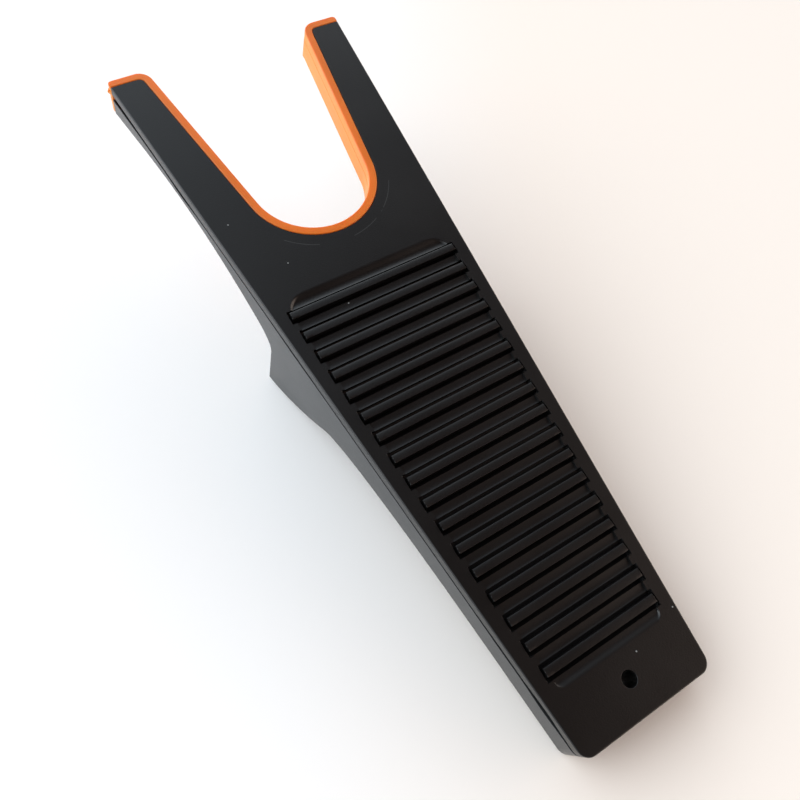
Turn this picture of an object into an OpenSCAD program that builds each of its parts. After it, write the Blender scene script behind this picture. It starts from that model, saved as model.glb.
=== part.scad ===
// Boot jack: a heel notch on two prongs, a foot tread, a fin-shaped foot and a thin tail.
// Two hollow shells are screwed together from below and clamp a soft liner round the notch.
// Millimetres. Every piece is drawn in the plate's own frame and then laid on the floor:
// in that frame x runs across, y runs from the tail edge to the prong tips, and z is the
// height over the plate's top face, so nearly everything has a negative z.
// On the floor: +Z up, prongs towards +Y, tail towards -Y, origin at the footprint's centre.

/* [Overall] */
// Length of the plate, tail edge to prong tips
overall_length = 329.7; // [260:0.1:420]
// Width across the two prong tips
tip_width = 116.6; // [95:0.1:150]
// Width of the tail edge
tail_width = 59.4; // [50:0.1:80]
// Depth of the foot's toe below the plate's top face
toe_depth = 57.3; // [46:0.1:75]
// Depth of the tail below the plate's top face
tail_depth = 18; // [15:0.1:24]

/* [Plan corners] */
// Corner radius of the tail
tail_corner = 5; // [3.5:0.1:12]
// Outer corner radius of each prong tip
prong_corner = 0.8; // [0.2:0.1:3]
// Inner corner radius of each prong tip, on the liner
tip_corner = 6.5; // [4:0.1:9]

/* [Heel notch] */
// Length of the notch, prong tips to the bottom of its arc
notch_depth = 108.2; // [80:0.1:125]
// Radius of the notch's arc, on the liner
notch_radius = 27; // [22:0.1:32]
// Angle that each side of the notch leans out by
notch_flare = 8.9; // [6:0.1:11]

/* [Grip band] */
// Thickness of the soft liner
band_thickness = 3.6; // [2.4:0.1:4.6]
// Depth of the liner's wall along the notch
band_depth = 14; // [12:0.1:16]
// Depth of the liner's wall at the inner tip corners
band_tip_depth = 14.8; // [12:0.1:17]
// Thickness of the bead that locks the liner inside the shells
bead_height = 2.4; // [1.6:0.1:3]
// Width of that bead
bead_width = 1.4; // [1:0.1:2]

/* [Shells] */
// Wall thickness of both shells
wall = 3; // [2.4:0.1:3.8]
// Thickness of the top plate
plate_thickness = 3.2; // [2.8:0.1:4]
// Thickness of the top shell's skirt
skirt_thickness = 1.8; // [1.2:0.1:2.2]
// Depth of the skirt below the plate's top face
skirt_depth = 4.6; // [4.2:0.1:6]
// Open seam between the skirt and the bottom shell
seam_gap = 1; // [0.6:0.1:1.6]
// Thickness of the ribs inside the bottom shell
rib = 1.8; // [1.2:0.1:2.4]
// Distance of the two long ribs from the middle
rib_offset = 11; // [9:0.1:13]

/* [Underside] */
// Depth of the prong tips
tip_depth = 16.7; // [15:0.1:20]
// Depth at the top of the arch under the prongs
arch_depth = 9.3; // [8.8:0.1:12]
// Distance of the arch's top from the prong tips
arch_setback = 63.7; // [50:0.1:80]
// Distance of the foot's front face behind the notch
foot_setback = 29.7; // [24:0.1:40]
// Length of the curve between the arch and the foot's front face
shoulder_run = 13.2; // [8:0.1:20]
// Depth at the start of that curve
shoulder_depth = 18.3; // [16:0.1:22]
// Depth at which the foot's front face begins
face_depth = 30.8; // [26:0.1:36]
// Length of the foot's swept back, toe to the bend
fin_length = 41.3; // [34:0.1:50]
// Depth at the bend of the swept back
fin_depth = 32.2; // [28:0.1:38]
// Distance from the tail edge at which the underside runs level
level_length = 40; // [30:0.1:60]

/* [Foot tread] */
// Distance from the notch to the tread's front edge
tread_setback = 23.5; // [18:0.1:32]
// Distance from the tail edge to the tread's rear edge
tread_tail = 22; // [20:0.1:32]
// Margin between the plate's side and the tread's side
tread_margin = 7.35; // [5:0.05:10]
// Depth of the tread's pockets
pocket_depth = 1.1; // [0.6:0.05:1.3]
// Corner radius of the tread's front
tread_front_corner = 9; // [4:0.5:12]
// Corner radius of the tread's rear
tread_rear_corner = 4.5; // [2:0.5:8]
// Length of the slope at the tread's front edge
tread_front_slope = 3.6; // [2:0.1:6]
// Length of the slope at the tread's rear edge
tread_rear_slope = 2.5; // [1.5:0.1:5]
// Distance from the tread's front edge to its first bar
bar_lead = 6.9; // [5:0.1:9]
// Distance from bar to bar
bar_pitch = 10; // [8.5:0.1:14]
// Width of a bar's top
bar_width = 3.7; // [2.4:0.1:4.4]
// Height of a bar over the plate
bar_height = 0.9; // [0.4:0.05:1.4]
// Run of each sloped flank of a bar
bar_flank = 0.85; // [0.4:0.05:1.2]
// Length by which a bar's ends lap onto the plate
bar_lap = 0.95; // [0.5:0.05:1.5]

/* [Hang hole] */
// Diameter of the hang hole
hang_bore = 6; // [4:0.1:7]
// Distance of the hang hole from the tail edge
hang_setback = 12.7; // [11:0.1:15]
// Wall of the tube round the hang hole
hang_wall = 2.5; // [1.5:0.1:3]

/* [Screws] */
// Diameter of the self-tapping screws
screw_diameter = 3.5; // [2.8:0.1:4]
// Diameter of the screw heads
head_diameter = 6.6; // [5.5:0.1:7]
// Height of the screw heads
head_height = 2.2; // [1.6:0.1:2.6]
// Wall round the screw bores in the top shell
boss_wall = 1.8; // [1.4:0.1:2.2]
// Wall round the counterbores in the bottom shell
tower_wall = 1.9; // [1.4:0.1:2.4]
// Depth at which the screw posts of the body meet
body_meet = 10; // [8:0.1:11]
// Depth at which the screw posts of the prongs meet
prong_meet = 6.6; // [6.2:0.1:7]
// Thickness clamped under each body screw's head
body_clamp = 3; // [2:0.1:4]
// Thickness clamped under each prong screw's head
prong_clamp = 2; // [1.6:0.1:2.4]
// Distance of the prong screws from the tips
prong_screw_setback = 34; // [28:0.5:38]
// Distance of the waist screws behind the notch
waist_screw_setback = 14; // [12:0.5:18]
// Distance of the tail screws from the tail edge
tail_screw_setback = 40; // [32:0.5:46]

/* [Floor pads] */
// Thickness of the rubber pads
pad_thickness = 2; // [1.4:0.1:3]
// Height of the shell over the floor on its pads
pad_stand = 0.8; // [0.4:0.1:1.2]
// Length of the toe pads, across the jack
toe_pad_length = 28; // [18:0.5:32]
// Length of the tail pads, across the jack
tail_pad_length = 12; // [8:0.5:14]
// Width of every pad, along the jack
pad_width = 8.6; // [6:0.1:10]
// Corner radius of the pads
pad_corner = 2; // [1:0.1:3]
// Border of plastic round each pad
pad_border = 1.4; // [1:0.1:2]

/* [Fits] */
// Gap between the tongue of the bottom shell and the top shell
tongue_clearance = 0.2; // [0.1:0.05:0.3]
// Gap round the liner's bead
bead_clearance = 0.15; // [0.1:0.05:0.3]
// Gap round each screw's shank in the top shell
thread_clearance = 0.05; // [0.02:0.01:0.1]
// Gap round each screw's shank in the bottom shell
shank_clearance = 0.2; // [0.1:0.05:0.4]
// Gap round each screw's head
head_clearance = 0.4; // [0.2:0.05:0.6]
// Gap round each pad in its pocket
pad_clearance = 0.1; // [0.05:0.05:0.3]

/* [Hidden] */
// Length of one facet along an arc
facet = 2.4;
// Overshoot of the cuts
over = 5;
// Pieces of each curve of the underside
curve_steps = 12;
// Height that the sharp toe and tail corners are flattened by
land = 0.4;
// Plastic left between a pilot bore's end and the surface above
pilot_cover = 1.4;
// Free bore beyond each screw's point
pilot_spare = 0.5;
// Slope of the prongs' underside at the tips
tip_slope = 0.14;
// Flat pocket kept behind the last bar
bar_spare = 1;
// Gap between the screw towers and the side walls
post_gap = 0.6;
// Distance of the pads' plastic from the line that toe and tail stand on
pad_setback = 1.6;
// Distance of the pads' plastic from the rounded sides
pad_inset = 1;
// Gap between the hang hole's tube and the long ribs
rib_gap = 2;
// Depth by which one form is rooted in the next
root = 1;
// Lap of the posts, the flange and the bars with what carries them
lap = 0.2;
// Cross recess of the screw heads: share of the head, width and depth
recess_share = 0.55;
recess_width = 0.9;
recess_depth = 1.3;
// Slope at the rim of the screw heads, and radius of the blunt points
head_slope = 0.9;
point_radius = 0.5;
// Height of the block that flattens the underside
floor_cut = 20;

rim_depth = skirt_depth + seam_gap;
seam_depth = skirt_depth + seam_gap / 2;
rib_top = plate_thickness + tongue_clearance;
lean = (tip_width - tail_width) / 2 / overall_length;
arc_y = overall_length - notch_depth + notch_radius;
notch_y = overall_length - notch_depth;
foot_y = notch_y - foot_setback;
arch_y = overall_length - arch_setback;
tread_front = notch_y - tread_setback;
last_bar_space = bar_width + 2 * bar_flank + tread_rear_slope + bar_spare;
bar_first = tread_front - bar_lead;
bar_count = floor((bar_first - tread_tail - last_bar_space) / bar_pitch) + 1;
body_seat = body_meet + body_clamp;
prong_seat = prong_meet + prong_clamp;
body_pilot_top = pocket_depth + pilot_cover;
boss_radius = screw_diameter / 2 + boss_wall;
counterbore = head_diameter / 2 + head_clearance;
tower_radius = counterbore + tower_wall;
hang_radius = hang_bore / 2 + hang_wall;

// The tilt that puts toe and tail on one floor, and the lift and shift onto it.
tilt = atan2(toe_depth - tail_depth, foot_y);
lift = tail_depth * cos(tilt) + pad_stand - land;
reach = overall_length * cos(tilt) + tip_depth * sin(tilt);
toe_row_y = foot_y * cos(tilt) + toe_depth * sin(tilt) - reach / 2;
tail_row_y = tail_depth * sin(tilt) - reach / 2;

// Half width of the plate, and half width of the open notch, at a distance from the tail.
function half_width(y) = tail_width / 2 + lean * y;
function notch_half(y) = notch_radius / cos(notch_flare) + (y - arc_y) * tan(notch_flare);

// A cubic curve through its first and last point.
function curve(p) = [
  for (i = [0:curve_steps])
    let (t = i / curve_steps, s = 1 - t)
    s * s * s * p[0] + 3 * s * s * t * p[1] + 3 * s * t * t * p[2] + t * t * t * p[3]
];

// The same curve, from its end points and the two handles as shares of the way between them.
function sweep(a, b, h, k) = curve([
  a,
  [a[0] + h[0] * (b[0] - a[0]), a[1] + h[1] * (b[1] - a[1])],
  [a[0] + k[0] * (b[0] - a[0]), a[1] + k[1] * (b[1] - a[1])],
  b
]);

function cross2(a, b) = a[0] * b[1] - a[1] * b[0];
function unit(a) = a / norm(a);
function inward(a) = [-a[1], a[0]];

// Where two edges meet after each has moved inwards by its own distance.
function meet(a, b, c, da, db) =
  let (
    u = unit(b - a),
    v = unit(c - b),
    p = b + da * inward(u),
    q = b + db * inward(v),
    k = cross2(u, v)
  )
  abs(k) < 0.000001 ? q : p + u * cross2(q - p, v) / k;

// A closed outline, drawn anticlockwise, with each edge moved inwards by its own distance.
function inset(p, d) =
  let (n = len(p))
  [for (i = [0:n - 1]) meet(p[(i + n - 1) % n], p[i], p[(i + 1) % n], d[(i + n - 1) % n], d[i])];

// One corner of an outline as an arc of short facets.
function corner(a, b, c, r) =
  let (
    u = unit(a - b),
    v = unit(c - b),
    half = acos(u * v) / 2,
    run = r / tan(half),
    mid = b + unit(u + v) * r / sin(half),
    start = b + u * run - mid,
    turn = sign(cross2(b - a, c - b)) * (180 - 2 * half),
    steps = max(5, ceil(r * abs(turn) * PI / 180 / facet))
  )
  r <= 0 ? [b] : [
    for (i = [0:steps])
      let (w = turn * i / steps)
      mid + [start[0] * cos(w) - start[1] * sin(w), start[0] * sin(w) + start[1] * cos(w)]
  ];

function rounded(p, r) =
  let (n = len(p))
  [for (i = [0:n - 1]) each corner(p[(i + n - 1) % n], p[i], p[(i + 1) % n], r[i])];

// The jack's outline in plan. Its sides and tail are moved inwards by a, its notch and its
// prong ends by b. The notch is one big rounded corner between two leaning lines.
function plan(a, b) =
  let (
    w = tail_width / 2,
    t = tip_width / 2,
    n = notch_half(overall_length),
    apex = arc_y - notch_radius / sin(notch_flare),
    sharp = [
      [-w, 0],
      [w, 0],
      [t, overall_length],
      [n, overall_length],
      [0, apex],
      [-n, overall_length],
      [-t, overall_length]
    ],
    tail_r = max(tail_corner - a, 0.5),
    outer_r = a == 0 && b == 0 ? prong_corner : 0,
    inner_r = max(tip_corner - b, 0.5)
  )
  rounded(
    inset(sharp, [a, a, b, b, b, b, a]),
    [tail_r, tail_r, outer_r, inner_r, notch_radius + b, inner_r, outer_r]
  );

// The underside as seen from the side, tail first, with the foot between.
underside = concat(
  [[-over, -tail_depth]],
  sweep([level_length, -tail_depth], [foot_y - fin_length, -fin_depth], [0.49, 0.02], [0.91, 0.32]),
  sweep([foot_y - fin_length, -fin_depth], [foot_y, -toe_depth], [0.28, 0.42], [0.61, 0.79]),
  sweep(
    [foot_y, -face_depth],
    [foot_y + shoulder_run, -shoulder_depth],
    [0, 0.55],
    [0.4, 0.82]
  ),
  sweep([foot_y + shoulder_run, -shoulder_depth], [arch_y, -arch_depth], [0.25, 0.49], [0.54, 1]),
  sweep([arch_y, -arch_depth], [overall_length, -tip_depth], [0.34, 0], [0.66, 0.57]),
  [[overall_length + over, -tip_depth - over * tip_slope]]
);

// The same line without its repeated points, closed above the plate.
side_line = concat(
  [for (i = [0:len(underside) - 1]) if (i == 0 || norm(underside[i] - underside[i - 1]) > 0.01) underside[i]],
  [[overall_length + over, over], [-over, over]]
);

function gap_to(p, a, b) =
  let (t = max(0, min(1, (p - a) * (b - a) / ((b - a) * (b - a)))))
  norm(p - a - t * (b - a));

// The inside of the underside, one wall thickness in, without the points of tight corners
// that the far side of the corner would leave too thin.
last_edge = len(side_line) - 4;
inner_line = [
  for (q = inset(side_line, [for (i = [0:len(side_line) - 1]) i <= last_edge ? wall : 0]))
    if (min([for (i = [0:last_edge]) gap_to(q, side_line[i], side_line[i + 1])]) > wall - 0.01) q
];

// The liner's lower edge as seen from the side.
band_line = [
  [notch_y - over, -band_depth],
  [overall_length - tip_corner, -band_tip_depth],
  [overall_length, -tip_depth],
  [overall_length + over, -tip_depth],
  [overall_length + over, 0],
  [notch_y - over, 0]
];

// The eight screws: height of the seat under the head, height of the point, and place.
prong_screw_y = overall_length - prong_screw_setback;
waist_screw_y = notch_y - waist_screw_setback;
middle_screw_y = (waist_screw_y + tail_screw_setback) / 2;
prong_wall = band_thickness + wall;
prong_screw_x = (half_width(prong_screw_y) - wall + notch_half(prong_screw_y) + prong_wall) / 2;

function post_x(y) = half_width(y) - wall - tower_radius - post_gap;

SCREWS = [
  for (side = [-1, 1])
    each [
      [side * prong_screw_x, prong_screw_y, prong_seat, prong_meet, pilot_cover],
      [side * post_x(waist_screw_y), waist_screw_y, body_seat, body_meet, body_pilot_top],
      [side * post_x(middle_screw_y), middle_screw_y, body_seat, body_meet, body_pilot_top],
      [side * post_x(tail_screw_setback), tail_screw_setback, body_seat, body_meet, body_pilot_top]
    ]
];

// The four floor pads: name, side, distance from the middle, front edge of the plastic, length.
toe_pad_x = half_width(foot_y) - wall - pad_border - toe_pad_length / 2 - pad_inset;
tail_pad_x = tail_width / 2 - tail_corner - pad_border - tail_pad_length / 2 - pad_inset;
pad_front_toe = toe_row_y - pad_setback;
pad_front_tail = tail_row_y + pad_setback + pad_width + 2 * pad_border;
PADS = [
  ["toe_pad_left", -toe_pad_x, pad_front_toe, toe_pad_length],
  ["toe_pad_right", toe_pad_x, pad_front_toe, toe_pad_length],
  ["tail_pad_left", -tail_pad_x, pad_front_tail, tail_pad_length],
  ["tail_pad_right", tail_pad_x, pad_front_tail, tail_pad_length]
];

// Moves a piece from the plate's frame onto the floor.
module laid() {
  translate([0, -reach / 2, lift])
    rotate([tilt, 0, 0])
      children();
}

// An outline in plan, between two depths.
module slab(outline, low, high) {
  translate([0, 0, low])
    linear_extrude(height = high - low)
      polygon(outline);
}

// An outline as seen from the side, across the whole width.
module slice(outline) {
  translate([-tip_width, 0, 0])
    rotate([90, 0, 90])
      linear_extrude(height = 2 * tip_width)
        polygon(outline);
}

// An outline as seen from the tail, between two distances from it.
module bulkhead(outline, near, far) {
  translate([0, far, 0])
    rotate([90, 0, 0])
      linear_extrude(height = far - near)
        polygon(outline);
}

// A strip along the notch and the prong ends, between two distances in from the liner's face.
module notch_strip(side_inset, near, far, low, high) {
  difference() {
    slab(plan(side_inset, near), low, high);
    slab(plan(side_inset - over, far), low - over, high + over);
  }
}

// The liner's bead, or with growth the room that both shells leave beside and over it.
module bead(growth) {
  notch_strip(
    wall + tongue_clearance - growth,
    prong_wall + bead_clearance,
    prong_wall + bead_clearance + bead_width + growth,
    -seam_depth - bead_height / 2,
    -seam_depth + bead_height / 2 + growth
  );
}

module post(x, y, radius, low, high) {
  translate([x, y, low])
    cylinder(r = radius, h = high - low, $fn = 64);
}

// The sunk part of the tread, with its sloped ends.
module tread_recess() {
  front = half_width(tread_front) - tread_margin;
  rear = half_width(tread_tail) - tread_margin;
  intersection() {
    slab(
      rounded(
        [[-rear, tread_tail], [rear, tread_tail], [front, tread_front], [-front, tread_front]],
        [tread_rear_corner, tread_rear_corner, tread_front_corner, tread_front_corner]
      ),
      -pocket_depth - over,
      over
    );
    slice([
      [tread_tail, 0],
      [tread_tail + tread_rear_slope, -pocket_depth],
      [tread_front - tread_front_slope, -pocket_depth],
      [tread_front, 0],
      [tread_front, over],
      [tread_tail, over]
    ]);
  }
}

// One bar of the tread, with sloped flanks and ends.
module bar(front) {
  half = half_width(front - bar_width / 2) - tread_margin + bar_lap;
  sunk = pocket_depth + lap;
  near = front - bar_width - bar_flank;
  far = front + bar_flank;
  intersection() {
    slice([
      [near, -sunk],
      [far, -sunk],
      [far, -pocket_depth],
      [front, bar_height],
      [front - bar_width, bar_height],
      [near, -pocket_depth]
    ]);
    bulkhead(
      [
        [-half, -sunk],
        [half, -sunk],
        [half, 0],
        [half - bar_flank, bar_height],
        [bar_flank - half, bar_height],
        [-half, 0]
      ],
      near - over,
      far + over
    );
  }
}

module top_shell() {
  color([0.12, 0.125, 0.135])
    laid()
      difference() {
        union() {
          difference() {
            slab(plan(0, band_thickness), -skirt_depth, 0);
            slab(plan(skirt_thickness, prong_wall), -skirt_depth - over, -plate_thickness);
            tread_recess();
          }
          for (i = [0:bar_count - 1])
            bar(bar_first - i * bar_pitch);
          for (s = SCREWS)
            post(s[0], s[1], boss_radius, -s[3], lap - plate_thickness);
          post(0, hang_setback, hang_radius, -body_meet, lap - plate_thickness);
        }
        for (s = SCREWS)
          post(s[0], s[1], screw_diameter / 2 + thread_clearance, -s[3] - over, -s[4]);
        post(0, hang_setback, hang_bore / 2, -body_meet - over, over);
        bead(bead_clearance);
      }
}

// The plastic round one pad, which also flattens the shell towards the floor.
module pad_plinth(p) {
  half = p[3] / 2 + pad_border;
  translate([p[1] - half, p[2] - pad_width - 2 * pad_border, pad_stand])
    cube([2 * half, pad_width + 2 * pad_border, pad_thickness + root]);
}

// A pad's outline, grown by a clearance, between two heights over the floor.
module pad_block(p, grow, low, high) {
  half = p[3] / 2 + grow;
  near = p[2] - pad_border - pad_width - grow;
  far = p[2] - pad_border + grow;
  radius = pad_corner + grow;
  slab(
    rounded(
      [[p[1] - half, near], [p[1] + half, near], [p[1] + half, far], [p[1] - half, far]],
      [radius, radius, radius, radius]
    ),
    low,
    high
  );
}

// The space inside the bottom shell.
module bottom_cavity(high) {
  intersection() {
    slab(plan(wall, prong_wall), -toe_depth - over, high);
    slice(inner_line);
  }
}

// The ribs' plan: two long ones and four across, between the screw posts.
module rib_grid() {
  rear_bay = (middle_screw_y - tail_screw_setback) / 3;
  front_bay = (waist_screw_y - middle_screw_y) / 3;
  crossings = [
    tail_screw_setback + rear_bay,
    middle_screw_y - rear_bay,
    middle_screw_y + front_bay,
    waist_screw_y - front_bay
  ];
  long_start = hang_setback + hang_radius + rib_gap;
  long_end = waist_screw_y - tower_radius;
  for (side = [-1, 1])
    translate([side * rib_offset - rib / 2, long_start, -toe_depth])
      cube([rib, long_end - long_start, toe_depth - rib_top]);
  for (y = crossings)
    translate([-tip_width / 2, y - rib / 2, -toe_depth])
      cube([tip_width, rib, toe_depth - rib_top]);
}

module bottom_body() {
  intersection() {
    slab(plan(0, band_thickness), -toe_depth - over, -rim_depth);
    slice(side_line);
  }
  intersection() {
    notch_strip(0, band_thickness, prong_wall, -toe_depth, -rim_depth);
    slice(band_line);
  }
}

// The tongue that stands inside the top shell's skirt and closes the seam.
module tongue() {
  end = prong_wall + tongue_clearance;
  difference() {
    slab(plan(skirt_thickness + tongue_clearance, end), -rim_depth - root, -rib_top);
    slab(plan(wall, end - over), -rim_depth - over, over);
  }
}

module bottom_towers() {
  intersection() {
    for (s = SCREWS)
      post(s[0], s[1], tower_radius, -tail_depth - over, -s[3]);
    slab(plan(wall / 2, band_thickness + wall / 2), -toe_depth, 0);
    slice(side_line);
  }
  post(0, hang_setback, hang_radius, -tail_depth, -body_meet);
}

module bottom_shell() {
  color([0.2, 0.205, 0.215])
    difference() {
      union() {
        laid()
          difference() {
            union() {
              difference() {
                bottom_body();
                bottom_cavity(over);
              }
              tongue();
              bottom_towers();
              intersection() {
                bottom_cavity(-rib_top);
                rib_grid();
              }
            }
            for (s = SCREWS) {
              post(s[0], s[1], screw_diameter / 2 + shank_clearance, -toe_depth, 0);
              post(s[0], s[1], counterbore, -toe_depth - over, -s[2]);
            }
            post(0, hang_setback, hang_bore / 2, -toe_depth, 0);
            bead(bead_clearance);
          }
        for (p = PADS)
          pad_plinth(p);
      }
      translate([-tip_width, -reach, pad_stand - floor_cut])
        cube([2 * tip_width, 2 * reach, floor_cut]);
      for (p = PADS)
        pad_block(p, pad_clearance, -over, pad_thickness);
    }
}

module grip_band() {
  color([0.93, 0.42, 0.12])
    laid() {
      intersection() {
        notch_strip(0, 0, band_thickness, -tip_depth - over, 0);
        slice(band_line);
      }
      notch_strip(
        wall + tongue_clearance,
        band_thickness - root,
        prong_wall + bead_clearance + lap,
        -rim_depth,
        -skirt_depth
      );
      bead(0);
    }
}

// One self-tapping screw, point up, with a cross recess in its pan head.
module screw(i) {
  s = SCREWS[i - 1];
  point = s[4] + pilot_spare;
  taper = screw_diameter / 2;
  radius = screw_diameter / 2;
  slot = head_diameter * recess_share;
  color([0.62, 0.62, 0.6])
    laid()
      translate([s[0], s[1], -s[2]]) {
        cylinder(r = radius, h = s[2] - point - taper, $fn = 48);
        translate([0, 0, s[2] - point - taper])
          cylinder(r1 = radius, r2 = point_radius, h = taper, $fn = 48);
        difference() {
          union() {
            translate([0, 0, -head_height / 2])
              cylinder(r = head_diameter / 2, h = head_height / 2, $fn = 48);
            translate([0, 0, -head_height])
              cylinder(r1 = head_diameter / 2 - head_slope, r2 = head_diameter / 2, h = head_height / 2, $fn = 48);
          }
          for (turn = [0, 90])
            rotate([0, 0, turn])
              translate([-slot / 2, -recess_width / 2, -head_height - root])
                cube([slot, recess_width, root + recess_depth]);
        }
      }
}

module floor_pad(p) {
  color([0.07, 0.07, 0.07])
    pad_block(p, 0, 0, pad_thickness);
}

top_shell();
bottom_shell();
grip_band();
for (i = [1:len(SCREWS)])
  screw(i);
for (p = PADS)
  floor_pad(p);
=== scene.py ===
import math

import bmesh
import bpy
import numpy as np
from mathutils import Matrix, Vector
from mathutils.geometry import delaunay_2d_cdt


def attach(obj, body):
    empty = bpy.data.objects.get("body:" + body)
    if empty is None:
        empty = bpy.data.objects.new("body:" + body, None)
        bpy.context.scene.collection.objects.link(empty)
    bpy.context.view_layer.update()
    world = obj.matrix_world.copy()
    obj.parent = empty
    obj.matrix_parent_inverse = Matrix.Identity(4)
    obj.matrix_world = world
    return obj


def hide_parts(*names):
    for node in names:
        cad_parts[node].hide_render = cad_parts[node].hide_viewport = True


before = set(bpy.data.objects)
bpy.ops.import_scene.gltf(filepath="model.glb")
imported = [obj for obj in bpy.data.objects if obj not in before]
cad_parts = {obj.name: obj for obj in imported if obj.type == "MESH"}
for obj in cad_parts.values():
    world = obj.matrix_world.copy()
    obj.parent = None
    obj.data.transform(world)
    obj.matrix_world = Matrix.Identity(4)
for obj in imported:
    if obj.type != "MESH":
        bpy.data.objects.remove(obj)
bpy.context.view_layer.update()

scene = bpy.context.scene

# ---------------------------------------------------------------- sizes, mm
LENGTH, TIP_W, TAIL_W = 329.7, 116.6, 59.4
TOE, TAIL, TIP = 57.3, 18.0, 16.7
NOTCH, NOTCH_R, FLARE = 108.2, 27.0, math.radians(8.9)
BAND_T, BAND_D, BAND_TIP_D = 3.6, 14.0, 14.8
WALL, PLATE, SKIRT_T, SKIRT, SEAM = 3.0, 3.2, 1.8, 4.6, 1.0
ARCH, ARCH_Y = 9.3, LENGTH - 63.7
NOTCH_Y = LENGTH - NOTCH
ARC_Y = NOTCH_Y + NOTCH_R
FOOT_Y = NOTCH_Y - 29.7
SHOULDER_RUN, SHOULDER, FACE = 13.2, 18.3, 30.8
FIN_L, FIN_D, LEVEL = 41.3, 32.2, 40.0
LEAN = (TIP_W - TAIL_W) / 2 / LENGTH
TREAD_Y1, TREAD_Y0, TREAD_M = NOTCH_Y - 23.5, 22.0, 7.35
BAR_W, LAP, PITCH, BARS = 3.7, 0.95, 10.0, 17
BAR_1 = TREAD_Y1 - 6.9
HANG_Y, HANG_R = 12.7, 3.0
PAD_STAND, PAD_T, PAD_W, BORDER = 0.8, 2.0, 8.6, 1.4
SCREW_BORE_R, COUNTERBORE_R, TOWER_R = 1.95, 3.7, 3.3 + 0.4 + 1.9
LINER_GAP = 0.22
TILT = math.atan2(TOE - TAIL, FOOT_Y)
COS, SIN = math.cos(TILT), math.sin(TILT)
LIFT = TAIL * COS + PAD_STAND - 0.4
REACH = LENGTH * COS + TIP * SIN
LAY = Matrix.Translation((0, -REACH / 2, LIFT)) @ Matrix.Rotation(TILT, 4, "X")
MM = Matrix.Scale(0.001, 4)


def half_width(y):
    return TAIL_W / 2 + LEAN * y


def notch_half(y):
    return NOTCH_R / math.cos(FLARE) + (y - ARC_Y) * math.tan(FLARE)


# ---------------------------------------------------------------- outlines
def unit(v):
    return v / np.linalg.norm(v)


def arc(a, b, c, r, steps):
    """One corner of an outline as an arc."""
    u, v = unit(a - b), unit(c - b)
    half = math.acos(float(np.clip(u @ v, -1, 1))) / 2
    mid = b + unit(u + v) * r / math.sin(half)
    start = b + u * (r / math.tan(half)) - mid
    e, f = b - a, c - b
    turn = math.copysign(math.pi - 2 * half, e[0] * f[1] - e[1] * f[0])
    out = []
    for i in range(steps + 1):
        w = turn * i / steps
        out.append(mid + np.array([start[0] * math.cos(w) - start[1] * math.sin(w),
                                   start[0] * math.sin(w) + start[1] * math.cos(w)]))
    return out


# Corner steps and straight-edge pieces of the jack's outline, so every offset of it has the same points.
CORNER_STEPS = [8, 8, 3, 8, 56, 8, 3]
EDGE_PIECES = [12, 100, 4, 26, 26, 4, 100]


def plan(a, b):
    """The outline in plan, sides and tail moved in by a, notch and prong ends by b."""
    w, t, n = TAIL_W / 2, TIP_W / 2, notch_half(LENGTH)
    p = [np.array(q, float) for q in
         [(-w, 0), (w, 0), (t, LENGTH), (n, LENGTH), (0, ARC_Y - NOTCH_R / math.sin(FLARE)), (-n, LENGTH),
          (-t, LENGTH)]]
    d = [a, a, b, b, b, b, a]
    k = len(p)
    q = []
    for i in range(k):
        u, v = unit(p[i] - p[i - 1]), unit(p[(i + 1) % k] - p[i])
        iu, iv = np.array([-u[1], u[0]]), np.array([-v[1], v[0]])
        s, e = p[i] + d[i - 1] * iu, p[i] + d[i] * iv
        q.append(s + u * ((e - s)[0] * v[1] - (e - s)[1] * v[0]) / (u[0] * v[1] - u[1] * v[0]))
    tail_r = max(5.0 - a, 0.5)
    outer_r = max(1.6 - max(a, b, 0) * 0.5, 0.12)
    inner_r = max(6.5 - b, 0.5)
    radii = [tail_r, tail_r, outer_r, inner_r, NOTCH_R + b, inner_r, outer_r]
    out = []
    arcs = [arc(q[i - 1], q[i], q[(i + 1) % k], radii[i], CORNER_STEPS[i]) for i in range(k)]
    for i in range(k):
        out += arcs[i]
        e0, e1 = arcs[i][-1], arcs[(i + 1) % k][0]
        for j in range(1, EDGE_PIECES[i]):
            out.append(e0 + (e1 - e0) * j / EDGE_PIECES[i])
    return np.array(out)


def curve(p, steps):
    t = np.linspace(0, 1, steps + 1)[:, None]
    p = [np.array(q, float) for q in p]
    s = 1 - t
    return s ** 3 * p[0] + 3 * s * s * t * p[1] + 3 * s * t * t * p[2] + t ** 3 * p[3]


def sweep(a, b, h, k, steps=20):
    a, b, h, k = (np.array(v, float) for v in (a, b, h, k))
    return curve([a, a + h * (b - a), a + k * (b - a), b], steps)


def underside(over=5.0):
    """The underside as seen from the side, tail first."""
    parts = [
        [(-over, -TAIL)],
        sweep((LEVEL, -TAIL), (FOOT_Y - FIN_L, -FIN_D), (0.49, 0.02), (0.91, 0.32)),
        sweep((FOOT_Y - FIN_L, -FIN_D), (FOOT_Y, -TOE), (0.28, 0.42), (0.61, 0.79)),
        sweep((FOOT_Y, -FACE), (FOOT_Y + SHOULDER_RUN, -SHOULDER), (0, 0.55), (0.4, 0.82)),
        sweep((FOOT_Y + SHOULDER_RUN, -SHOULDER), (ARCH_Y, -ARCH), (0.25, 0.49), (0.54, 1)),
        sweep((ARCH_Y, -ARCH), (LENGTH, -TIP), (0.34, 0), (0.66, 0.57)),
        [(LENGTH + over, -TIP - over * 0.14)],
    ]
    out = []
    for part in parts:
        for p in part:
            if not out or math.dist(p, out[-1]) > 0.01:
                out.append(tuple(p))
    return out


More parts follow.
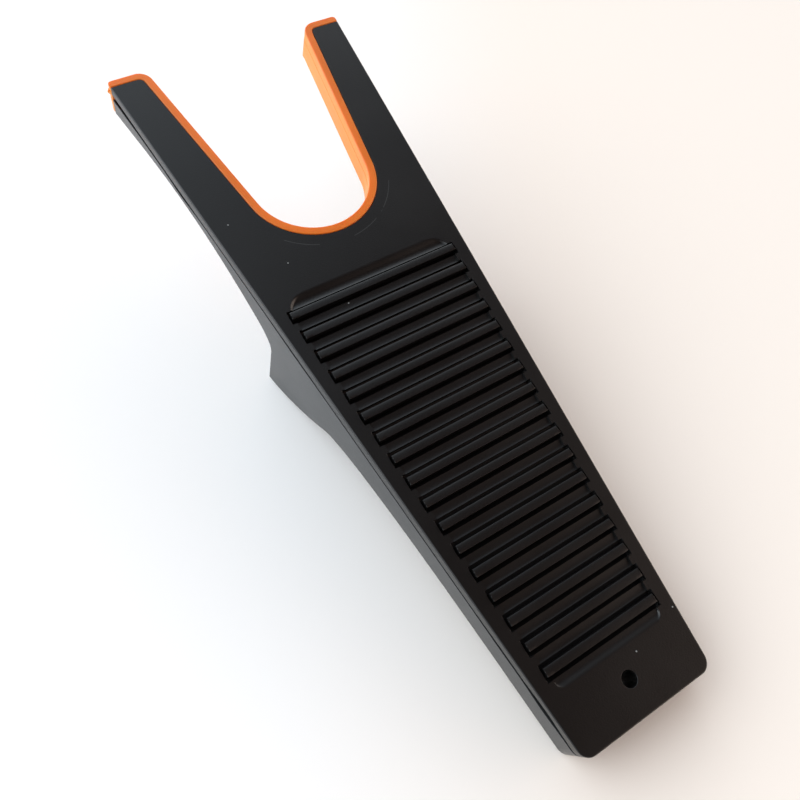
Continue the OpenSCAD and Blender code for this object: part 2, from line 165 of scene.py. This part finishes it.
def bumps(y, table):
    """The seam's unevenness: the shells stand apart in some places and are drawn together by the screws in others."""
    return sum(h * math.exp(-((y - c) / w) ** 2) for c, w, h in table)


def skirt_edge(y):
    """Depth of the skirt's lower edge."""
    return 4.75 - bumps(y, [(19, 9, 1.35), (40, 12, 0.5), (332, 26, 0.55), (172, 12, 0.15), (262, 12, -0.15)])


def rim_edge(y):
    """Depth of the bottom shell's upper edge."""
    return 5.6 + bumps(y, [(19, 8, 1.0), (45, 9, 0.3), (176, 16, 0.5), (265, 9, 1.1), (300, 40, 0.7), (330, 22, 1.7)])


# ---------------------------------------------------------------- solids by prisms
def mesh_object(name, verts, faces):
    me = bpy.data.meshes.new(name)
    me.from_pydata([tuple(v) for v in verts], [], faces)
    me.validate()
    o = bpy.data.objects.new(name, me)
    scene.collection.objects.link(o)
    return o


def prism(name, outline, low, high, kind="plan", lay=True):
    """A closed prism: kind plan is drawn in (x, y) and runs along z, side is drawn in (y, z) and runs along x."""
    n = len(outline)
    if kind == "plan":
        verts = [(x, y, low) for x, y in outline] + [(x, y, high) for x, y in outline]
    else:
        verts = [(low, y, z) for y, z in outline] + [(high, y, z) for y, z in outline]
    faces = [tuple(range(n))[::-1], tuple(range(n, 2 * n))]
    faces += [(i, (i + 1) % n, n + (i + 1) % n, n + i) for i in range(n)]
    o = mesh_object(name, verts, faces)
    fix(o)
    if lay:
        o.data.transform(LAY)
    return o


def circle_points(x, y, r, n=48):
    return [(x + r * math.cos(2 * math.pi * i / n), y + r * math.sin(2 * math.pi * i / n)) for i in range(n)]


def tube(name, x, y, r, low, high):
    return prism(name, circle_points(x, y, r), low, high)


def fix(o):
    bm = bmesh.new()
    bm.from_mesh(o.data)
    bmesh.ops.recalc_face_normals(bm, faces=bm.faces)
    bm.to_mesh(o.data)
    bm.free()


def join_by(a, b, operation):
    """a, changed by the solid b, which is then gone."""
    m = a.modifiers.new("b", "BOOLEAN")
    m.object, m.operation, m.solver = b, operation, "MANIFOLD"
    dg = bpy.context.evaluated_depsgraph_get()
    me = bpy.data.meshes.new_from_object(a.evaluated_get(dg))
    a.modifiers.clear()
    old = a.data
    a.data = me
    bpy.data.meshes.remove(old)
    mb = b.data
    bpy.data.objects.remove(b)
    bpy.data.meshes.remove(mb)
    return a


def cut(a, *others):
    for b in others:
        join_by(a, b, "DIFFERENCE")
    return a


def add(a, *others):
    for b in others:
        join_by(a, b, "UNION")
    return a


def common(a, b):
    return join_by(a, b, "INTERSECT")


def round_edges(o, width, steps):
    """Rounds the outward edges sharper than 32 degrees."""
    bm = bmesh.new()
    bm.from_mesh(o.data)
    bmesh.ops.remove_doubles(bm, verts=bm.verts, dist=0.004)
    bmesh.ops.dissolve_limit(bm, angle_limit=0.01, verts=bm.verts, edges=bm.edges)
    edges = [e for e in bm.edges if len(e.link_faces) == 2 and e.is_convex
             and e.calc_face_angle() > math.radians(32)]
    bmesh.ops.bevel(bm, geom=edges, offset=width, offset_type="OFFSET", segments=steps, profile=0.5,
                    affect="EDGES", clamp_overlap=True)
    bmesh.ops.recalc_face_normals(bm, faces=bm.faces)
    bm.to_mesh(o.data)
    bm.free()
    return o


def notch_strip(name, side_inset, near, far, low, high):
    s = prism(name, plan(side_inset, near), low, high)
    return cut(s, prism(name + "_c", plan(side_inset - 5, far), low - 5, high + 5))


# ---------------------------------------------------------------- materials
def nodes_of(name):
    m = bpy.data.materials.new(name)
    m.use_nodes = True
    nt = m.node_tree
    return m, nt, nt.nodes["Principled BSDF"]


def node(nt, kind, **inputs):
    n = nt.nodes.new(kind)
    for k, v in inputs.items():
        n.inputs[k.replace("_", " ")].default_value = v
    return n


def math_node(nt, operation, a, b=None):
    n = nt.nodes.new("ShaderNodeMath")
    n.operation = operation
    for i, v in enumerate((a, b)):
        if isinstance(v, (int, float)):
            n.inputs[i].default_value = v
        elif v is not None:
            nt.links.new(v, n.inputs[i])
    return n.outputs["Value"]


def mapped(nt, value, low, high, at_low=0.0, at_high=1.0):
    """A value carried from one range to another."""
    n = node(nt, "ShaderNodeMapRange", From_Min=low, From_Max=high, To_Min=at_low, To_Max=at_high)
    nt.links.new(value, n.inputs["Value"])
    return n.outputs["Result"]


def along(nt, vector, direction):
    n = nt.nodes.new("ShaderNodeVectorMath")
    n.operation = "DOT_PRODUCT"
    n.inputs[1].default_value = direction
    nt.links.new(vector, n.inputs[0])
    return n.outputs["Value"]


def distance_to(nt, co, point):
    n = nt.nodes.new("ShaderNodeVectorMath")
    n.operation = "DISTANCE"
    nt.links.new(co, n.inputs[0])
    n.inputs[1].default_value = (LAY @ Vector(point)) * 0.001
    return n.outputs["Value"]


def color_mix(nt, factor, a, b):
    """A mix of two colours, each plain or from a socket."""
    n = nt.nodes.new("ShaderNodeMix")
    n.data_type = "RGBA"
    nt.links.new(factor, n.inputs["Factor"])
    for key, v in (("A", a), ("B", b)):
        if isinstance(v, tuple):
            n.inputs[key].default_value = (*v, 1)
        else:
            nt.links.new(v, n.inputs[key])
    return n.outputs["Result"]


def object_coordinates(nt):
    return nt.nodes.new("ShaderNodeTexCoord").outputs["Object"]


def plastic(name, color, rough, grain, grain_size, mottle):
    """Moulded plastic with a fine grain and slightly uneven gloss."""
    m, nt, bsdf = nodes_of(name)
    co = object_coordinates(nt)
    soft = node(nt, "ShaderNodeTexNoise", Scale=22.0, Detail=4.0, Roughness=0.6)
    nt.links.new(co, soft.inputs["Vector"])
    nt.links.new(mapped(nt, soft.outputs["Fac"], 0.3, 0.7, rough - mottle, rough + mottle), bsdf.inputs["Roughness"])
    uneven = color_mix(nt, soft.outputs["Fac"], tuple(c * 0.82 for c in color), tuple(c * 1.2 for c in color))
    nt.links.new(uneven, bsdf.inputs["Base Color"])
    fine = node(nt, "ShaderNodeTexNoise", Scale=1.0 / grain_size, Detail=3.0, Roughness=0.55)
    nt.links.new(co, fine.inputs["Vector"])
    bump = node(nt, "ShaderNodeBump", Strength=grain, Distance=0.0002)
    nt.links.new(fine.outputs["Fac"], bump.inputs["Height"])
    nt.links.new(bump.outputs["Normal"], bsdf.inputs["Normal"])
    return m


def overlay(nt, factor, color):
    """Lays a colour over the material's own where the factor says."""
    base = nt.nodes["Principled BSDF"].inputs["Base Color"]
    nt.links.new(color_mix(nt, factor, base.links[0].from_socket, color), base)


top_black = plastic("top_black", (0.0018, 0.0018, 0.0018), 0.36, 0.25, 0.0006, 0.03)
bottom_black = plastic("bottom_black", (0.02, 0.021, 0.022), 0.33, 0.2, 0.0007, 0.04)
liner_orange = plastic("liner_orange", (0.70, 0.16, 0.008), 0.40, 0.3, 0.0009, 0.05)
screw_steel = plastic("screw_steel", (0.55, 0.55, 0.53), 0.32, 0.15, 0.0004, 0.08)
screw_steel.node_tree.nodes["Principled BSDF"].inputs["Metallic"].default_value = 1.0
pad_black = plastic("pad_black", (0.018, 0.018, 0.018), 0.75, 0.4, 0.0008, 0.05)

# The mould's witness line round the notch is real; its lighter colour, fading in and out, is a painted highlight along
# it. Also a few specks of dust.
WITNESS_R, WITNESS_END, SPECK_R = 0.0358, 232, 0.0003
SPECKS = [(-42.95, 239.4, 0), (-28.94, 212.54, 0), (-38.97, 181.54, 0), (-15.07, 185.63, -0.9), (30.0, 23.5, 0),
          (8.0, 18.5, 0)]
nt = top_black.node_tree
co = object_coordinates(nt)
off = math_node(nt, "ABSOLUTE", math_node(nt, "SUBTRACT", distance_to(nt, co, (0, ARC_Y, 0)), WITNESS_R))
patch = node(nt, "ShaderNodeTexNoise", Scale=60.0, Detail=2.0)
nt.links.new(co, patch.inputs["Vector"])
witness_highlight_and_dust = math_node(nt, "MULTIPLY", math_node(nt, "LESS_THAN", off, 0.00013),
                  math_node(nt, "GREATER_THAN", patch.outputs["Fac"], 0.46))
witness_highlight_and_dust = math_node(nt, "MULTIPLY", witness_highlight_and_dust, 0.12)
axes = nt.nodes.new("ShaderNodeSeparateXYZ")
nt.links.new(co, axes.inputs[0])
witness_highlight_and_dust = math_node(nt, "MULTIPLY", witness_highlight_and_dust,
                  math_node(nt, "LESS_THAN", axes.outputs["Y"], (LAY @ Vector((0, WITNESS_END, 0))).y * 0.001))
for speck in SPECKS:
    witness_highlight_and_dust = math_node(nt, "MAXIMUM", witness_highlight_and_dust, math_node(nt, "LESS_THAN", distance_to(nt, co, speck), SPECK_R))
# Painted highlight on the witness line, and real dust specks, laid over the plate's colour.
overlay(nt, witness_highlight_and_dust, (0.26, 0.28, 0.28))

# The liner is soft and lets some light in. Below its top face its colour is painted a little paler and yellower:
# painted light on the inner walls, which face the window.
nt = liner_orange.node_tree
bsdf = nt.nodes["Principled BSDF"]
bsdf.inputs["Subsurface Weight"].default_value = 0.35
bsdf.inputs["Subsurface Radius"].default_value = (0.004, 0.0016, 0.0006)
bsdf.inputs["Subsurface Scale"].default_value = 1.0
plate_at = (LIFT * COS + REACH / 2 * SIN) * 0.001
height = along(nt, object_coordinates(nt), (0, -SIN, COS))
overlay(nt, mapped(nt, height, plate_at - 0.0004, plate_at - 0.0014), (0.74, 0.25, 0.03))


# Planes whose faces are shaded flat: a point and the outward direction, in the plate's frame.
PLANES = [((0, 0, 0), (0, 0, 1)), ((0, 0, -PLATE), (0, 0, -1)), ((0, 0, 0), (0, -1, 0)),
          ((TAIL_W / 2, 0, 0), (1, -LEAN, 0)), ((-TAIL_W / 2, 0, 0), (-1, -LEAN, 0))]
PLANES = [(LAY @ Vector(p), (LAY.to_3x3() @ Vector(n)).normalized()) for p, n in PLANES]


def on_plane(f):
    c = f.calc_center_median()
    return any(abs((c - p).dot(n)) < 0.004 and f.normal.dot(n) > 0.9999 for p, n in PLANES)


def place(o, name, material, slot, *replaced):
    """Closes and shades a solid and puts it into the row's frame as a finished piece."""
    o.name = name
    bm = bmesh.new()
    bm.from_mesh(o.data)
    bmesh.ops.remove_doubles(bm, verts=bm.verts, dist=0.001)
    bmesh.ops.dissolve_degenerate(bm, edges=bm.edges, dist=0.0005)
    bmesh.ops.delete(bm, geom=[e for e in bm.edges if not e.link_faces], context="EDGES")
    bmesh.ops.holes_fill(bm, edges=[e for e in bm.edges if len(e.link_faces) == 1], sides=0)
    still_open = {v for e in bm.edges if len(e.link_faces) == 1 for v in e.verts}
    bmesh.ops.remove_doubles(bm, verts=list(still_open), dist=0.02)
    bmesh.ops.delete(bm, geom=[v for v in bm.verts if not v.link_faces], context="VERTS")
    bmesh.ops.recalc_face_normals(bm, faces=bm.faces)
    for f in bm.faces:
        f.smooth = not on_plane(f)
        f.material_index = 0
    for e in bm.edges:
        e.smooth = not (len(e.link_faces) == 2 and e.calc_face_angle() > math.radians(40))
    bm.transform(MM)
    bm.to_mesh(o.data)
    bm.free()
    o.data.materials.clear()
    o.data.materials.append(material)
    w = o.modifiers.new("w", "WEIGHTED_NORMAL")
    w.keep_sharp, w.mode, w.weight = True, "FACE_AREA", 50
    dg = bpy.context.evaluated_depsgraph_get()
    me = bpy.data.meshes.new_from_object(o.evaluated_get(dg))
    o.modifiers.clear()
    o.data = me
    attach(o, "root")
    if replaced:
        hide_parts(*replaced)
    return o


# ---------------------------------------------------------------- top shell
# The front slope's section: distance ahead of the first bar, and height over the plate.
FRONT_AT = [1.15, 1.45, 1.8, 2.2, 2.6, 3.0, 3.6, 4.3, 5.0, 5.6, 6.1, 6.5, 6.9, 7.3]
FRONT_Z = [-0.5, -0.61, -0.73, -0.83, -0.89, -0.91, -0.87, -0.72, -0.48, -0.28, -0.14, -0.06, -0.01, 0]
# A pocket's section: distance ahead of the next bar, and height over the plate.
POCKET_AT = [1.75, 2.0, 2.3, 2.7, 3.2, 3.9, 4.7, 5.2]
POCKET_Z = [-0.78, -0.86, -0.93, -0.98, -1.0, -0.97, -0.9, -0.84]
# A bar's section: distance behind its front edge, and height over the plate; then its slot.
BAR_AT = [-0.22, -0.15, -0.1, 0.0, 0.2, 0.45, 0.8, 1.3, 2.93, 3.02, 3.1, 3.18]
BAR_Z = [-2.6, -0.2, 0.66, 0.71, 0.76, 0.81, 0.86, 0.9, 0.9, 0.85, -0.2, -2.6]
SLOT_AT = [-1.75, -1.66, -0.3, 3.2, 4.7]
SLOT_Z = [-1.9, -2.2, -2.6, -2.6, -1.1]
SLOT_FRONT, SLOT_FRONT_1, SLOT_REAR, SLOT_END = 1.75, 1.15, 4.8, 0.7


def tread_height(x, y):
    """Height of the tread's relief over the plate, in mm."""
    inside = half_width(y) - TREAD_M - abs(x)
    # Rounded corners of the sunk part.
    for yc, r, s in ((TREAD_Y1, 9.0, 1), (TREAD_Y0, 4.5, -1)):
        cy, cx = yc - s * r, half_width(yc - s * r) - TREAD_M - r
        if (y - cy) * s > 0 and abs(x) > cx:
            inside = min(inside, r - math.hypot(abs(x) - cx, y - cy))
    ahead = y - BAR_1
    k = min(max(math.floor(-ahead / PITCH), -1), BARS - 1)
    if k < 0:
        h = np.interp(ahead, FRONT_AT, FRONT_Z) * min(max(inside / 0.6, 0.0), 1.0)
    elif k < BARS - 1:
        h = np.interp((k + 1) * PITCH + ahead, POCKET_AT, POCKET_Z) * min(max(inside / 0.08, 0.0), 1.0)
    else:
        ramp = min(max((y - TREAD_Y0) / 2.8, 0.0), 1.0)
        h = -0.62 * ramp * ramp * (3 - 2 * ramp) * min(max(inside / 0.2, 0.0), 1.0)
    # Each bar stands in a narrow slot of its own.
    for j in (k, k + 1):
        if 0 <= j < BARS:
            t = BAR_1 - j * PITCH - y
            end = half_width(BAR_1 - j * PITCH - BAR_W / 2) - TREAD_M + LAP - abs(x)
            slot = min(end + SLOT_END, t + (SLOT_FRONT if j else SLOT_FRONT_1), SLOT_REAR - t) / 0.09
            floor = np.interp(t, SLOT_AT, SLOT_Z)
            if slot > 0:
                h = min(h, h + (floor - h) * min(slot, 1.0))
            if end > 0:
                h = max(h, floor + (np.interp(t, BAR_AT, BAR_Z) - floor) * min(end / 0.12, 1.0))
    return h


def tread_rows():
    ys = [TREAD_Y0 - 1.0, TREAD_Y0 - 0.3]
    ys += list(np.arange(TREAD_Y0, BAR_1 - (BARS - 1) * PITCH - 5.0, 0.35))
    for k in range(BARS):
        ys += [BAR_1 - k * PITCH - t for t in BAR_AT + [-1.75, -1.66, 2.0, 3.7, 4.2, 4.71, 4.8]]
        if k < BARS - 1:
            ys += [BAR_1 - (k + 1) * PITCH + f for f in (2.0, 2.3, 2.7, 3.2, 3.55, 3.9, 4.3, 4.7)]
    ys += [BAR_1 + t for t in (1.06, 1.15, 1.3, 1.5)] + list(np.arange(BAR_1 + 1.9, TREAD_Y1 + 0.8, 0.25))
    ys += [TREAD_Y1 + 1.2]
    ys = sorted(ys)
    out = [ys[0]]
    for y in ys[1:]:
        if y - out[-1] > 0.04:
            out.append(y)
    return out


def top_shell():
    verts, faces = [], []

    def put(points):
        i = len(verts)
        verts.extend(points)
        return list(range(i, i + len(points)))

    def loft(a, b, closed=True):
        n = len(a)
        for i in range(n if closed else n - 1):
            j = (i + 1) % n
            faces.append((a[i], a[j], b[j], b[i]))

    # The tread's grid, closest at the bars' ends.
    ys = tread_rows()
    edge_cols = [5.2, 5.4, 5.5, 5.6, 5.7, 5.8, 5.9, 6.0, 6.15, 6.3, 6.4, 6.5, 6.6, 6.75, 7.0, 7.28, 7.35, 7.43, 7.6,
                 7.9, 8.3, 8.7, 9.1, 9.6, 10.1, 10.6, 11.1, 11.6, 12.1, 12.6, 13.1, 13.6, 14.2, 14.8, 15.4, 16.2, 17.2]
    middle = 27
    grid = []
    for y in ys:
        hw = half_width(y)
        xs = [-(hw - c) for c in edge_cols]
        inner = hw - edge_cols[-1]
        xs += [-inner + 2 * inner * (i + 1) / (middle + 1) for i in range(middle)]
        xs += [hw - c for c in reversed(edge_cols)]
        grid.append(put([(x, y, tread_height(x, y)) for x in xs]))
    for a, b in zip(grid, grid[1:]):
        loft(a, b, closed=False)
    border = grid[0] + [r[-1] for r in grid[1:-1]] + grid[-1][::-1] + [r[0] for r in grid[1:-1]][::-1]

    # Outer loops, from the flat face over the rounded edge to the skirt and under it.
    def ring(a, b, depth):
        return put([(x, y, -(depth(y) if callable(depth) else depth)) for x, y in plan(a, b + BAND_T + LINER_GAP)])

    ra, rb = 0.55, 0.12
    loops = [ring(ra + 0.25, rb + 0.25, 0)]
    for k in range(5):
        f = math.radians(90 * k / 4)
        loops.append(ring(ra * (1 - math.sin(f)), rb * (1 - math.sin(f)), 0 if k == 0 else ra * (1 - math.cos(f))))
    loops.append(ring(0, 0, lambda y: skirt_edge(y) - 0.3))
    loops.append(ring(0.09, 0.05, lambda y: skirt_edge(y) - 0.09))
    loops.append(ring(0.3, 0.2, skirt_edge))
    loops.append(ring(SKIRT_T, WALL, skirt_edge))
    loops.append(ring(SKIRT_T, WALL, PLATE))
    for a, b in zip(loops, loops[1:]):
        loft(b, a)

    # The hang hole with its tube.
    def circle(r, z):
        return put([(x, y, z) for x, y in circle_points(0, HANG_Y, r)])

    hole = [circle(HANG_R + 0.35, 0)]
    for k in range(4):
        f = math.radians(90 * k / 3)
        hole.append(circle(HANG_R + 0.15 * (1 - math.sin(f)), -0.15 * (1 - math.cos(f))))
    hole += [circle(HANG_R, -10.0), circle(HANG_R + 2.5, -10.0), circle(HANG_R + 2.5, -PLATE)]
    for a, b in zip(hole, hole[1:]):
        loft(a, b)

    def fill(rings, up):
        """Fills the face between an outer ring and the rings inside it."""
        ids = [i for r in rings for i in r]
        pts = [Vector((verts[i][0], verts[i][1])) for i in ids]
        edges, k = [], 0
        for r in rings:
            edges += [(k + j, k + (j + 1) % len(r)) for j in range(len(r))]
            k += len(r)
        _, _, tris, vid, _, _ = delaunay_2d_cdt(pts, edges, [], 0, 1e-7)
        tris = [[vid[v][0] for v in t] for t in tris]
        walls = {frozenset(e) for e in edges}
        sides = {}
        for i, t in enumerate(tris):
            for a, b in zip(t, t[1:] + t[:1]):
                sides.setdefault(frozenset((a, b)), []).append(i)
        depth = {}
        todo = [(ts[0], int(e in walls)) for e, ts in sides.items() if len(ts) == 1]
        while todo:
            i, d = todo.pop()
            if i in depth:
                continue
            depth[i] = d
            t = tris[i]
            for a, b in zip(t, t[1:] + t[:1]):
                e = frozenset((a, b))
                todo += [(j, d + (e in walls)) for j in sides[e] if j not in depth]
        for i, t in enumerate(tris):
            if depth[i] % 2:
                w = [ids[v] for v in t]
                faces.append(tuple(w) if up else tuple(w[::-1]))

    fill([loops[0], border, hole[0]], True)
    fill([loops[-1], hole[-1]], False)
    o = mesh_object("top", verts, faces)
    o.data.transform(LAY)
    return o


top = place(top_shell(), "plate", top_black, "top_plastic", "top_shell")

# ---------------------------------------------------------------- grip band
BAND_LINE = [(NOTCH_Y - 5, -BAND_D), (LENGTH - 6.5, -BAND_TIP_D), (LENGTH, -TIP), (LENGTH + 5, -TIP),
             (LENGTH + 5, 0), (NOTCH_Y - 5, 0)]
band = notch_strip("band", 0, 0, BAND_T, -TIP - 5, 0)
common(band, prism("cut", BAND_LINE, -80, 80, "side"))
round_edges(band, 0.4, 3)
cut(band, notch_strip("groove", -1, -1, 0.12, -5.35, -4.85))
flange = notch_strip("flange", WALL + 0.2, BAND_T - 1, BAND_T + WALL + 0.35, -SKIRT - SEAM + 0.02, -SKIRT - 0.02)
add(band, flange)
add(band, prism("tab", [(-57.2, 325.6), (-57.2, 329.0), (-58.2, 329.0), (-59.1, 327.6)], -4.4, -3.2))
band = place(band, "notch_liner", liner_orange, "band_rubber", "grip_band")

# ---------------------------------------------------------------- bottom shell
screw_y = [LENGTH - 34.0, NOTCH_Y - 14.0, (NOTCH_Y - 14.0 + 40.0) / 2, 40.0]
screws = []
for y in screw_y:
    x = half_width(y) - WALL - TOWER_R - 0.6
    if y == screw_y[0]:
        x = (half_width(y) - WALL + notch_half(y) + BAND_T + WALL) / 2
    screws += [(-x, y, y == screw_y[0]), (x, y, y == screw_y[0])]

low = underside()
rim = [(y, -rim_edge(y)) for y in np.arange(LENGTH + 5, -5.01, -3.0)]
body = prism("body", plan(0, BAND_T), -TOE - 5, 0)
common(body, prism("side", low + rim, -80, 80, "side"))
round_edges(body, 0.55, 3)
lip = notch_strip("lip", 0, BAND_T, BAND_T + WALL, -TOE, -SKIRT - SEAM - 0.05)
common(lip, prism("side", BAND_LINE, -80, 80, "side"))
round_edges(lip, 0.3, 2)
above = [(y, -rim_edge(y)) for y in np.arange(300.0, 336.1, 3.0)] + [(336, 5), (300, 5)]
cut(lip, prism("above", above, -80, 80, "side"))
add(body, lip)
toe_y = FOOT_Y * COS + TOE * SIN - REACH / 2
tail_y = TAIL * SIN - REACH / 2
pads = []
for name, fy, length, x in (("toe", toe_y - 1.6, 28.0, half_width(FOOT_Y) - WALL - BORDER - 15.0),
                            ("tail", tail_y + 1.6 + PAD_W + 2 * BORDER, 12.0, TAIL_W / 2 - 5 - BORDER - 7.0)):
    for s in (-1, 1):
        h = length / 2 + BORDER
        back = fy - PAD_W - 2 * BORDER
        foot = prism("foot", [(s * x - h, back), (s * x + h, back), (s * x + h, fy), (s * x - h, fy)],
                     PAD_STAND, PAD_STAND + PAD_T + 1, lay=False)
        round_edges(foot, 0.35, 2)
        pads.append((s * x, fy, length))
        add(body, foot)
cut(body, prism("floor", [(-80, -200), (80, -200), (80, 200), (-80, 200)], -20, PAD_STAND, lay=False))


def inner_line():
    """The underside moved in by one wall, without the points that a tight corner leaves too thin."""
    p = [np.array(q) for q in low]
    out = []
    for i, q in enumerate(p):
        a = p[max(i - 1, 0)]
        c = p[min(i + 1, len(p) - 1)]
        u = unit(q - a) if i else unit(c - q)
        v = unit(c - q) if i < len(p) - 1 else u
        n = unit(np.array([-u[1] - v[1], u[0] + v[0]]))
        r = q + n * WALL / max(0.35, float(n @ np.array([-u[1], u[0]])))
        gaps = []
        for s, e in zip(p, p[1:]):
            t = max(0.0, min(1.0, float((r - s) @ (e - s) / ((e - s) @ (e - s)))))
            gaps.append(np.linalg.norm(r - s - t * (e - s)))
        if min(gaps) > WALL - 0.02:
            out.append(tuple(r))
    return out


hollow = prism("hollow", plan(WALL, BAND_T + WALL), -TOE - 5, 5)
common(hollow, prism("side", inner_line() + [(LENGTH + 5, 5), (-5, 5)], -80, 80, "side"))
cut(body, hollow)
tongue = prism("tongue", plan(SKIRT_T + 0.8, BAND_T + WALL + 0.2), -9, -PLATE - 0.2)
cut(tongue, prism("t", plan(WALL + 0.6, BAND_T + WALL - 5), -12, 0))
add(body, tongue)
for x, y, prong in screws:
    post = tube("post", x, y, TOWER_R, -TAIL - 6, -6.6 if prong else -10.0)
    common(post, prism("side", low + [(LENGTH + 5, 5), (-5, 5)], -80, 80, "side"))
    if prong:
        common(post, prism("p", plan(WALL / 2, BAND_T + WALL / 2), -60, 5))
    add(body, post)
add(body, tube("hang", 0, HANG_Y, HANG_R + 2.5, -TAIL + 0.5, -10))
for x, y, prong in screws:
    cut(body, tube("bore", x, y, SCREW_BORE_R, -60, 0),
        tube("head", x, y, COUNTERBORE_R, -60, -8.6 if prong else -13.0))
cut(body, tube("hang", 0, HANG_Y, HANG_R, -60, 0))
# A dark channel behind the rim, where the seam stands open along the prongs.
channel = prism("channel", plan(0.6, BAND_T + 0.9), -9.0, -3)
cut(channel, prism("inside", plan(2.5, BAND_T - 4), -20, 5),
    prism("behind", [(-90, -10), (90, -10), (90, 294), (-90, 294)], -20, 5))
cut(body, channel)
for x, fy, length in pads:
    h, near, far, r = length / 2 + 0.1, fy - BORDER - PAD_W - 0.1, fy - BORDER + 0.1, 2.1
    corners = [np.array(c) for c in ((x - h, near), (x + h, near), (x + h, far), (x - h, far))]
    outline = [p for i in range(4) for p in arc(corners[i - 1], corners[i], corners[(i + 1) % 4], r, 6)]
    cut(body, prism("pocket", outline, -5, PAD_T, lay=False))
body = place(body, "foot_shell", bottom_black, "bottom_plastic", "bottom_shell")

for name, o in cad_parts.items():
    m = screw_steel if name.startswith("screw") else pad_black if "pad" in name else None
    if m:
        o.data.materials.clear()
        o.data.materials.append(m)

# ---------------------------------------------------------------- camera, from the photograph's solved perspective
cam = bpy.data.cameras.new("cam")
camera = bpy.data.objects.new("cam", cam)
scene.collection.objects.link(camera)
scene.camera = camera
cam.sensor_width = 36
cam.lens = 750.458 / 800 * 36
cam.shift_x = (400 - 372.6) / 800
cam.shift_y = (364.27 - 400) / 800
cam.clip_start, cam.clip_end = 0.01, 20
R = np.array([[-0.49957, -0.85284, 0.15196], [-0.81709, 0.40563, -0.40967], [0.28775, -0.32883, -0.89949]])


def uvw(p):
    """From the photograph's solution (towards the prongs, left, up) to the plate's frame."""
    return Vector((-p[1], p[0], p[2]))


rot = LAY.to_3x3()
right, up, back = rot @ uvw(R[0]), rot @ uvw(-R[1]), rot @ uvw(-R[2])
where = (LAY @ uvw((71.83, 117.96, 266.77))) * 0.001
camera.matrix_world = Matrix(((right.x, up.x, back.x, where.x), (right.y, up.y, back.y, where.y),
                              (right.z, up.z, back.z, where.z), (0, 0, 0, 1)))

# ---------------------------------------------------------------- floor and light
floor = mesh_object("floor", [(-20, -20, 0), (20, -20, 0), (20, 20, 0), (-20, 20, 0)], [(0, 1, 2, 3)])
floor_white, nt, bsdf = nodes_of("floor_white")
bsdf.inputs["Roughness"].default_value = 0.9
bsdf.inputs["Specular IOR Level"].default_value = 0.1
RIGHT = (0.85, -0.53, 0)
# Painted light: the floor is painted warmer, lower in green and blue, towards the right, for the warm room light on
# that side and the window's fall-off.
painted_warm_side = mapped(nt, along(nt, object_coordinates(nt), RIGHT), -0.07, 0.10)
painted_warm_side.node.interpolation_type = "SMOOTHSTEP"
nt.links.new(color_mix(nt, painted_warm_side, (0.96, 0.955, 0.94), (0.965, 0.89, 0.81)), bsdf.inputs["Base Color"])
floor.data.materials.append(floor_white)

world = bpy.data.worlds.new("world")
scene.world = world
world.use_nodes = True
wt = world.node_tree
bg = wt.nodes["Background"]


def tinted(value, color):
    n = wt.nodes.new("ShaderNodeVectorMath")
    n.operation = "SCALE"
    n.inputs[0].default_value = color
    wt.links.new(value, n.inputs["Scale"])
    return n.outputs["Vector"]


def added(a, b):
    n = wt.nodes.new("ShaderNodeVectorMath")
    n.operation = "ADD"
    for i, v in enumerate((a, b)):
        if isinstance(v, tuple):
            n.inputs[i].default_value = v
        else:
            wt.links.new(v, n.inputs[i])
    return n.outputs["Vector"]


# A dim room: dark overhead, brighter and cooler past the prongs, with paler walls low all round.
way = wt.nodes.new("ShaderNodeTexCoord").outputs["Generated"]
ahead = mapped(wt, along(wt, way, (-0.6, 0.8, 0)), -0.15, 0.85, 0.0, 1.85)
walls = math_node(wt, "MULTIPLY", mapped(wt, along(wt, way, (0, 0, 1)), 0.68, 0.42, 0.0, 1.25),
                  mapped(wt, along(wt, way, (0, -1, 0)), 0.1, 0.8, 1.0, 0.2))
warm = mapped(wt, along(wt, way, RIGHT), 0.6, 0.95, 0.0, 1.75)
light = added(added((0.078, 0.038, 0.03), tinted(ahead, (0.84, 1.0, 1.12))),
              added(tinted(warm, (1.0, 0.76, 0.62)), tinted(walls, (1.0, 0.97, 0.95))))
seen = wt.nodes.new("ShaderNodeLightPath").outputs["Is Camera Ray"]
wt.links.new(color_mix(wt, seen, light, (1.0, 0.98, 0.965)), bg.inputs["Color"])
bg.inputs["Strength"].default_value = 1.0


WINDOW_AT, WINDOW_TO = Vector((-1.2, 0.45, 1.1)), Vector((-0.1, 0, 0))
window_light = bpy.data.lights.new("window", "AREA")
window_light.shape, window_light.size, window_light.energy = "SQUARE", 1.4, 8.5
window = bpy.data.objects.new("window", window_light)
scene.collection.objects.link(window)
window.location = WINDOW_AT
window.rotation_euler = (WINDOW_TO - WINDOW_AT).to_track_quat("-Z", "Y").to_euler()

scene.view_settings.view_transform = "Standard"
